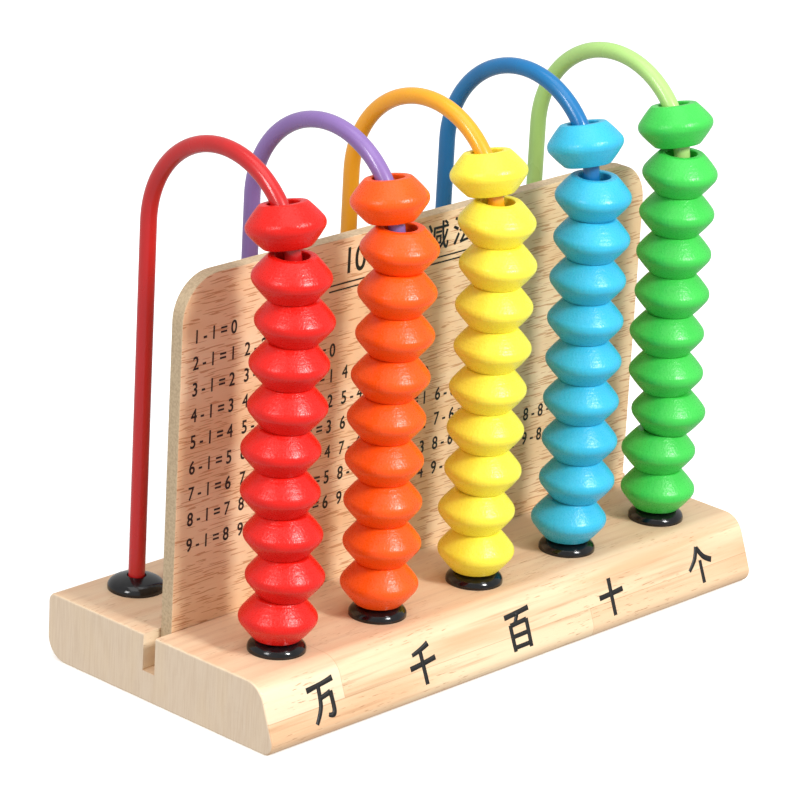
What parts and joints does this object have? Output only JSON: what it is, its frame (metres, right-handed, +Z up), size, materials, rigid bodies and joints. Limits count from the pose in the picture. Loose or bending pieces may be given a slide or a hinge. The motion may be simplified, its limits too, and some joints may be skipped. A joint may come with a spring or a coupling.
{
  "type": "calculating frame abacus",
  "caption": "Toy abacus: coloured beads threaded on bent wire arches that straddle an upright table board in a wooden base.",
  "frame": {"origin": "middle of the base's underside", "axes": "+X along the row of wires, -Y towards the sloping face that carries the place values and the side the beads are stored on, +Z up"},
  "size_m": [0.228, 0.103, 0.183],
  "materials": {
    "pale_wood": "sanded, thin clear lacquer",
    "beech_veneer": "satin printed veneer on fibreboard",
    "black_plastic": "glossy",
    "red_lacquer": "satin lacquer",
    "purple_lacquer": "satin lacquer",
    "amber_lacquer": "satin lacquer",
    "blue_lacquer": "satin lacquer",
    "lime_lacquer": "satin lacquer",
    "red_bead_paint": "semi-gloss paint on turned wood",
    "orange_bead_paint": "semi-gloss paint on turned wood",
    "yellow_bead_paint": "semi-gloss paint on turned wood",
    "sky_bead_paint": "semi-gloss paint on turned wood",
    "green_bead_paint": "semi-gloss paint on turned wood"
  },
  "bodies": {
    "frame": {"base": "pale_wood", "red_wire": "red_lacquer", "purple_wire": "purple_lacquer", "amber_wire": "amber_lacquer", "blue_wire": "blue_lacquer", "lime_wire": "lime_lacquer", "front_collars": "black_plastic", "back_collars": "black_plastic"},
    "table_board": {"board": "beech_veneer"},
    "red_01": {"red_bead_01": "red_bead_paint"},
    "red_02": {"red_bead_02": "red_bead_paint"},
    "red_03": {"red_bead_03": "red_bead_paint"},
    "red_04": {"red_bead_04": "red_bead_paint"},
    "red_05": {"red_bead_05": "red_bead_paint"},
    "red_06": {"red_bead_06": "red_bead_paint"},
    "red_07": {"red_bead_07": "red_bead_paint"},
    "red_08": {"red_bead_08": "red_bead_paint"},
    "red_09": {"red_bead_09": "red_bead_paint"},
    "red_10": {"red_bead_10": "red_bead_paint"},
    "orange_01": {"orange_bead_01": "orange_bead_paint"},
    "orange_02": {"orange_bead_02": "orange_bead_paint"},
    "orange_03": {"orange_bead_03": "orange_bead_paint"},
    "orange_04": {"orange_bead_04": "orange_bead_paint"},
    "orange_05": {"orange_bead_05": "orange_bead_paint"},
    "orange_06": {"orange_bead_06": "orange_bead_paint"},
    "orange_07": {"orange_bead_07": "orange_bead_paint"},
    "orange_08": {"orange_bead_08": "orange_bead_paint"},
    "orange_09": {"orange_bead_09": "orange_bead_paint"},
    "orange_10": {"orange_bead_10": "orange_bead_paint"},
    "yellow_01": {"yellow_bead_01": "yellow_bead_paint"},
    "yellow_02": {"yellow_bead_02": "yellow_bead_paint"},
    "yellow_03": {"yellow_bead_03": "yellow_bead_paint"},
    "yellow_04": {"yellow_bead_04": "yellow_bead_paint"},
    "yellow_05": {"yellow_bead_05": "yellow_bead_paint"},
    "yellow_06": {"yellow_bead_06": "yellow_bead_paint"},
    "yellow_07": {"yellow_bead_07": "yellow_bead_paint"},
    "yellow_08": {"yellow_bead_08": "yellow_bead_paint"},
    "yellow_09": {"yellow_bead_09": "yellow_bead_paint"},
    "yellow_10": {"yellow_bead_10": "yellow_bead_paint"},
    "sky_01": {"sky_bead_01": "sky_bead_paint"},
    "sky_02": {"sky_bead_02": "sky_bead_paint"},
    "sky_03": {"sky_bead_03": "sky_bead_paint"},
    "sky_04": {"sky_bead_04": "sky_bead_paint"},
    "sky_05": {"sky_bead_05": "sky_bead_paint"},
    "sky_06": {"sky_bead_06": "sky_bead_paint"},
    "sky_07": {"sky_bead_07": "sky_bead_paint"},
    "sky_08": {"sky_bead_08": "sky_bead_paint"},
    "sky_09": {"sky_bead_09": "sky_bead_paint"},
    "sky_10": {"sky_bead_10": "sky_bead_paint"},
    "green_01": {"green_bead_01": "green_bead_paint"},
    "green_02": {"green_bead_02": "green_bead_paint"},
    "green_03": {"green_bead_03": "green_bead_paint"},
    "green_04": {"green_bead_04": "green_bead_paint"},
    "green_05": {"green_bead_05": "green_bead_paint"},
    "green_06": {"green_bead_06": "green_bead_paint"},
    "green_07": {"green_bead_07": "green_bead_paint"},
    "green_08": {"green_bead_08": "green_bead_paint"},
    "green_09": {"green_bead_09": "green_bead_paint"},
    "green_10": {"green_bead_10": "green_bead_paint"}
  },
  "joints": [
    {"name": "board_slide", "type": "slide", "parent": "frame", "child": "table_board", "axis": [1, 0, 0], "range_m": [-0.1, 0.1]},
    {"name": "red_stack_lift", "type": "slide", "parent": "frame", "child": "red_01", "axis": [0, 0, 1], "range_m": [0, 0.012]},
    {"name": "red_02_lift", "type": "slide", "parent": "frame", "child": "red_02", "axis": [0, 0, 1], "range_m": [0, 0.012]},
    {"name": "red_03_lift", "type": "slide", "parent": "frame", "child": "red_03", "axis": [0, 0, 1], "range_m": [0, 0.012]},
    {"name": "red_04_lift", "type": "slide", "parent": "frame", "child": "red_04", "axis": [0, 0, 1], "range_m": [0, 0.012]},
    {"name": "red_05_lift", "type": "slide", "parent": "frame", "child": "red_05", "axis": [0, 0, 1], "range_m": [0, 0.012]},
    {"name": "red_06_lift", "type": "slide", "parent": "frame", "child": "red_06", "axis": [0, 0, 1], "range_m": [0, 0.012]},
    {"name": "red_07_lift", "type": "slide", "parent": "frame", "child": "red_07", "axis": [0, 0, 1], "range_m": [0, 0.012]},
    {"name": "red_08_lift", "type": "slide", "parent": "frame", "child": "red_08", "axis": [0, 0, 1], "range_m": [0, 0.012]},
    {"name": "red_09_swing", "type": "hinge", "parent": "frame", "child": "red_09", "pos_m": [0, 0.0043, 0.14558], "axis": [-1, 0, 0], "range_deg": [0, 28.54]},
    {"name": "red_top_over", "type": "hinge", "parent": "red_09", "child": "red_10", "pos_m": [0, 0.0043, 0.14558], "axis": [-1, 0, 0], "range_deg": [0, 118]},
    {"name": "orange_stack_lift", "type": "slide", "parent": "frame", "child": "orange_01", "axis": [0, 0, 1], "range_m": [0, 0.012]},
    {"name": "orange_02_lift", "type": "slide", "parent": "frame", "child": "orange_02", "axis": [0, 0, 1], "range_m": [0, 0.012]},
    {"name": "orange_03_lift", "type": "slide", "parent": "frame", "child": "orange_03", "axis": [0, 0, 1], "range_m": [0, 0.012]},
    {"name": "orange_04_lift", "type": "slide", "parent": "frame", "child": "orange_04", "axis": [0, 0, 1], "range_m": [0, 0.012]},
    {"name": "orange_05_lift", "type": "slide", "parent": "frame", "child": "orange_05", "axis": [0, 0, 1], "range_m": [0, 0.012]},
    {"name": "orange_06_lift", "type": "slide", "parent": "frame", "child": "orange_06", "axis": [0, 0, 1], "range_m": [0, 0.012]},
    {"name": "orange_07_lift", "type": "slide", "parent": "frame", "child": "orange_07", "axis": [0, 0, 1], "range_m": [0, 0.012]},
    {"name": "orange_08_lift", "type": "slide", "parent": "frame", "child": "orange_08", "axis": [0, 0, 1], "range_m": [0, 0.012]},
    {"name": "orange_09_swing", "type": "hinge", "parent": "frame", "child": "orange_09", "pos_m": [0, 0.0043, 0.14558], "axis": [-1, 0, 0], "range_deg": [0, 28.54]},
    {"name": "orange_top_over", "type": "hinge", "parent": "orange_09", "child": "orange_10", "pos_m": [0, 0.0043, 0.14558], "axis": [-1, 0, 0], "range_deg": [0, 118]},
    {"name": "yellow_stack_lift", "type": "slide", "parent": "frame", "child": "yellow_01", "axis": [0, 0, 1], "range_m": [0, 0.012]},
    {"name": "yellow_02_lift", "type": "slide", "parent": "frame", "child": "yellow_02", "axis": [0, 0, 1], "range_m": [0, 0.012]},
    {"name": "yellow_03_lift", "type": "slide", "parent": "frame", "child": "yellow_03", "axis": [0, 0, 1], "range_m": [0, 0.012]},
    {"name": "yellow_04_lift", "type": "slide", "parent": "frame", "child": "yellow_04", "axis": [0, 0, 1], "range_m": [0, 0.012]},
    {"name": "yellow_05_lift", "type": "slide", "parent": "frame", "child": "yellow_05", "axis": [0, 0, 1], "range_m": [0, 0.012]},
    {"name": "yellow_06_lift", "type": "slide", "parent": "frame", "child": "yellow_06", "axis": [0, 0, 1], "range_m": [0, 0.012]},
    {"name": "yellow_07_lift", "type": "slide", "parent": "frame", "child": "yellow_07", "axis": [0, 0, 1], "range_m": [0, 0.012]},
    {"name": "yellow_08_lift", "type": "slide", "parent": "frame", "child": "yellow_08", "axis": [0, 0, 1], "range_m": [0, 0.012]},
    {"name": "yellow_09_swing", "type": "hinge", "parent": "frame", "child": "yellow_09", "pos_m": [0, 0.0043, 0.14558], "axis": [-1, 0, 0], "range_deg": [0, 28.54]},
    {"name": "yellow_top_over", "type": "hinge", "parent": "yellow_09", "child": "yellow_10", "pos_m": [0, 0.0043, 0.14558], "axis": [-1, 0, 0], "range_deg": [0, 118]},
    {"name": "sky_stack_lift", "type": "slide", "parent": "frame", "child": "sky_01", "axis": [0, 0, 1], "range_m": [0, 0.012]},
    {"name": "sky_02_lift", "type": "slide", "parent": "frame", "child": "sky_02", "axis": [0, 0, 1], "range_m": [0, 0.012]},
    {"name": "sky_03_lift", "type": "slide", "parent": "frame", "child": "sky_03", "axis": [0, 0, 1], "range_m": [0, 0.012]},
    {"name": "sky_04_lift", "type": "slide", "parent": "frame", "child": "sky_04", "axis": [0, 0, 1], "range_m": [0, 0.012]},
    {"name": "sky_05_lift", "type": "slide", "parent": "frame", "child": "sky_05", "axis": [0, 0, 1], "range_m": [0, 0.012]},
    {"name": "sky_06_lift", "type": "slide", "parent": "frame", "child": "sky_06", "axis": [0, 0, 1], "range_m": [0, 0.012]},
    {"name": "sky_07_lift", "type": "slide", "parent": "frame", "child": "sky_07", "axis": [0, 0, 1], "range_m": [0, 0.012]},
    {"name": "sky_08_lift", "type": "slide", "parent": "frame", "child": "sky_08", "axis": [0, 0, 1], "range_m": [0, 0.012]},
    {"name": "sky_09_swing", "type": "hinge", "parent": "frame", "child": "sky_09", "pos_m": [0, 0.0043, 0.14818], "axis": [-1, 0, 0], "range_deg": [0, 28.54]},
    {"name": "sky_top_over", "type": "hinge", "parent": "sky_09", "child": "sky_10", "pos_m": [0, 0.0043, 0.14818], "axis": [-1, 0, 0], "range_deg": [0, 124]},
    {"name": "green_stack_lift", "type": "slide", "parent": "frame", "child": "green_01", "axis": [0, 0, 1], "range_m": [0, 0.012]},
    {"name": "green_02_lift", "type": "slide", "parent": "frame", "child": "green_02", "axis": [0, 0, 1], "range_m": [0, 0.012]},
    {"name": "green_03_lift", "type": "slide", "parent": "frame", "child": "green_03", "axis": [0, 0, 1], "range_m": [0, 0.012]},
    {"name": "green_04_lift", "type": "slide", "parent": "frame", "child": "green_04", "axis": [0, 0, 1], "range_m": [0, 0.012]},
    {"name": "green_05_lift", "type": "slide", "parent": "frame", "child": "green_05", "axis": [0, 0, 1], "range_m": [0, 0.012]},
    {"name": "green_06_lift", "type": "slide", "parent": "frame", "child": "green_06", "axis": [0, 0, 1], "range_m": [0, 0.012]},
    {"name": "green_07_lift", "type": "slide", "parent": "frame", "child": "green_07", "axis": [0, 0, 1], "range_m": [0, 0.012]},
    {"name": "green_08_lift", "type": "slide", "parent": "frame", "child": "green_08", "axis": [0, 0, 1], "range_m": [0, 0.012]},
    {"name": "green_09_swing", "type": "hinge", "parent": "frame", "child": "green_09", "pos_m": [0, 0.0043, 0.14618], "axis": [-1, 0, 0], "range_deg": [0, 28.54]},
    {"name": "green_top_over", "type": "hinge", "parent": "green_09", "child": "green_10", "pos_m": [0, 0.0043, 0.14618], "axis": [-1, 0, 0], "range_deg": [0, 119]}
  ],
  "couplings": [
    {"joint": "red_02_lift", "follows": "red_stack_lift", "ratio": 1},
    {"joint": "red_03_lift", "follows": "red_stack_lift", "ratio": 1},
    {"joint": "red_04_lift", "follows": "red_stack_lift", "ratio": 1},
    {"joint": "red_05_lift", "follows": "red_stack_lift", "ratio": 1},
    {"joint": "red_06_lift", "follows": "red_stack_lift", "ratio": 1},
    {"joint": "red_07_lift", "follows": "red_stack_lift", "ratio": 1},
    {"joint": "red_08_lift", "follows": "red_stack_lift", "ratio": 1},
    {"joint": "red_09_swing", "follows": "red_stack_lift", "rad_per_m": 41.494},
    {"joint": "orange_02_lift", "follows": "orange_stack_lift", "ratio": 1},
    {"joint": "orange_03_lift", "follows": "orange_stack_lift", "ratio": 1},
    {"joint": "orange_04_lift", "follows": "orange_stack_lift", "ratio": 1},
    {"joint": "orange_05_lift", "follows": "orange_stack_lift", "ratio": 1},
    {"joint": "orange_06_lift", "follows": "orange_stack_lift", "ratio": 1},
    {"joint": "orange_07_lift", "follows": "orange_stack_lift", "ratio": 1},
    {"joint": "orange_08_lift", "follows": "orange_stack_lift", "ratio": 1},
    {"joint": "orange_09_swing", "follows": "orange_stack_lift", "rad_per_m": 41.494},
    {"joint": "yellow_02_lift", "follows": "yellow_stack_lift", "ratio": 1},
    {"joint": "yellow_03_lift", "follows": "yellow_stack_lift", "ratio": 1},
    {"joint": "yellow_04_lift", "follows": "yellow_stack_lift", "ratio": 1},
    {"joint": "yellow_05_lift", "follows": "yellow_stack_lift", "ratio": 1},
    {"joint": "yellow_06_lift", "follows": "yellow_stack_lift", "ratio": 1},
    {"joint": "yellow_07_lift", "follows": "yellow_stack_lift", "ratio": 1},
    {"joint": "yellow_08_lift", "follows": "yellow_stack_lift", "ratio": 1},
    {"joint": "yellow_09_swing", "follows": "yellow_stack_lift", "rad_per_m": 41.494},
    {"joint": "sky_02_lift", "follows": "sky_stack_lift", "ratio": 1},
    {"joint": "sky_03_lift", "follows": "sky_stack_lift", "ratio": 1},
    {"joint": "sky_04_lift", "follows": "sky_stack_lift", "ratio": 1},
    {"joint": "sky_05_lift", "follows": "sky_stack_lift", "ratio": 1},
    {"joint": "sky_06_lift", "follows": "sky_stack_lift", "ratio": 1},
    {"joint": "sky_07_lift", "follows": "sky_stack_lift", "ratio": 1},
    {"joint": "sky_08_lift", "follows": "sky_stack_lift", "ratio": 1},
    {"joint": "sky_09_swing", "follows": "sky_stack_lift", "rad_per_m": 41.494},
    {"joint": "green_02_lift", "follows": "green_stack_lift", "ratio": 1},
    {"joint": "green_03_lift", "follows": "green_stack_lift", "ratio": 1},
    {"joint": "green_04_lift", "follows": "green_stack_lift", "ratio": 1},
    {"joint": "green_05_lift", "follows": "green_stack_lift", "ratio": 1},
    {"joint": "green_06_lift", "follows": "green_stack_lift", "ratio": 1},
    {"joint": "green_07_lift", "follows": "green_stack_lift", "ratio": 1},
    {"joint": "green_08_lift", "follows": "green_stack_lift", "ratio": 1},
    {"joint": "green_09_swing", "follows": "green_stack_lift", "rad_per_m": 41.494}
  ]
}
